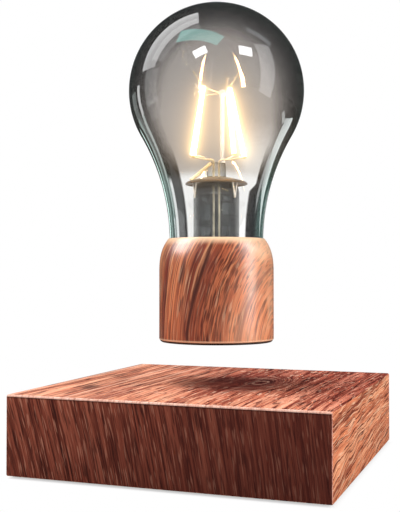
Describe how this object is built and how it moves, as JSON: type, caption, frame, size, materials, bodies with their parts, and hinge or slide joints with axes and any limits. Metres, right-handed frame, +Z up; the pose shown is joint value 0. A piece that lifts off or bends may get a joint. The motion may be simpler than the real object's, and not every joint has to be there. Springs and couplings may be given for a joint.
{
  "type": "levitating bulb lamp",
  "caption": "Table lamp whose clear filament bulb, in a turned wooden collar, hovers over a square wooden base that holds it up with magnets and powers it through the air.",
  "frame": {"origin": "centre of the base's footprint, on the surface that the rubber feet stand on", "axes": "+Z up along the bulb's axis, -Y towards the front, +Y towards the side with the power inlet, -X towards the side with the touch stud"},
  "size_m": [0.125, 0.125, 0.1907],
  "materials": {
    "wood_base": "satin",
    "wood_collar": "satin",
    "plate_black": "matte",
    "screw_steel": "satin",
    "foot_rubber": "matte",
    "nylon_white": "satin",
    "board_green": "satin",
    "component_dark": "matte",
    "magnet_dark": "matte",
    "magnet_nickel": "polished",
    "core_iron": "satin",
    "copper": "satin",
    "foam_grey": "matte",
    "former_amber": "satin",
    "jack_black": "satin",
    "pin_brass": "polished",
    "nut_nickel": "satin",
    "lead_red": "satin",
    "lead_white": "satin",
    "stud_steel": "satin",
    "gasket_white": "matte",
    "bulb_glass": "polished",
    "stem_glass": "polished",
    "board_black": "satin",
    "tube_glass": "polished",
    "wire_pale": "satin",
    "shield_bronze": "satin",
    "hook_wire": "satin",
    "cap_metal": "satin",
    "strip_glow": "satin"
  },
  "bodies": {
    "base": {"base_case": "wood_base", "bottom_plate": "plate_black", "bottom_screws": "screw_steel", "rubber_feet": "foot_rubber", "board_standoffs": "nylon_white", "main_board": "board_green", "board_screws": "screw_steel", "board_components": "component_dark", "coil_tray": "plate_black", "ring_magnet": "magnet_dark", "coil_cores": "core_iron", "coil_bobbins": "nylon_white", "coil_windings": "copper", "sensor_board": "board_green", "hall_sensors": "component_dark", "foam_ring": "foam_grey", "coil_former": "former_amber", "transmitter_coil": "copper", "dc_jack": "jack_black", "jack_pin": "pin_brass", "jack_nut": "nut_nickel", "jack_leads": "lead_red", "touch_stud": "stud_steel", "touch_board": "board_green", "touch_lead": "lead_white"},
    "magnet": {"levitation_magnet": "magnet_nickel"},
    "bulb": {"collar": "wood_collar", "collar_cap": "plate_black", "magnet_retainer": "plate_black", "receiver_coil": "copper", "receiver_board": "board_green", "receiver_components": "component_dark", "neck_gasket": "gasket_white", "glass_envelope": "bulb_glass", "stem": "stem_glass", "exhaust_tube": "tube_glass", "driver_board": "board_black", "driver_components": "component_dark", "lead_wires": "wire_pale", "heat_shield": "shield_bronze", "shield_strut": "wire_pale", "shield_legs": "wire_pale", "support_rod": "tube_glass", "light_strips": "strip_glow", "strip_caps": "cap_metal", "upper_hooks": "hook_wire", "lower_hooks": "hook_wire"}
  },
  "joints": [
    {"name": "lift", "type": "slide", "parent": "base", "child": "magnet", "axis": [0, 0, 1], "range_m": [-0.0171, 0.06], "stiffness_N_per_m": 40, "springref_m": 0.04035},
    {"name": "spin", "type": "hinge", "parent": "magnet", "child": "bulb", "pos_m": [0, 0, 0.049], "axis": [0, 0, 1], "continuous": true}
  ]
}
